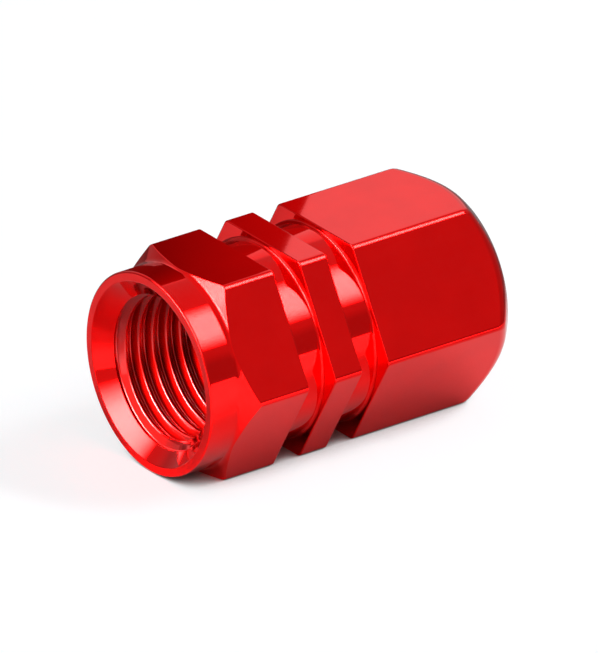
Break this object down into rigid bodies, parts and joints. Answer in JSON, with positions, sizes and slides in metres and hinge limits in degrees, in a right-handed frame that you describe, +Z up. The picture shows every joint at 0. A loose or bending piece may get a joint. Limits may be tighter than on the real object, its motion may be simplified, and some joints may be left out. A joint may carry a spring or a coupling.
{
  "type": "tyre valve cap",
  "caption": "Hexagonal metal cap that screws over a tyre valve stem, with a round collar at its threaded mouth, grooves round its waist and a rubber washer that seals inside.",
  "frame": {"origin": "middle of the box's base: on the surface that the cap lies on, under the middle of its length", "axes": "+Y along the thread axis from the open mouth to the closed end, +Z up from the hexagon flat that it lies on"},
  "size_m": [0.0114, 0.0174, 0.01],
  "materials": {
    "red_anodised": "gloss",
    "black_rubber": "matt"
  },
  "bodies": {
    "root": {"cap_shell": "red_anodised", "seal_washer": "black_rubber"}
  },
  "joints": []
}
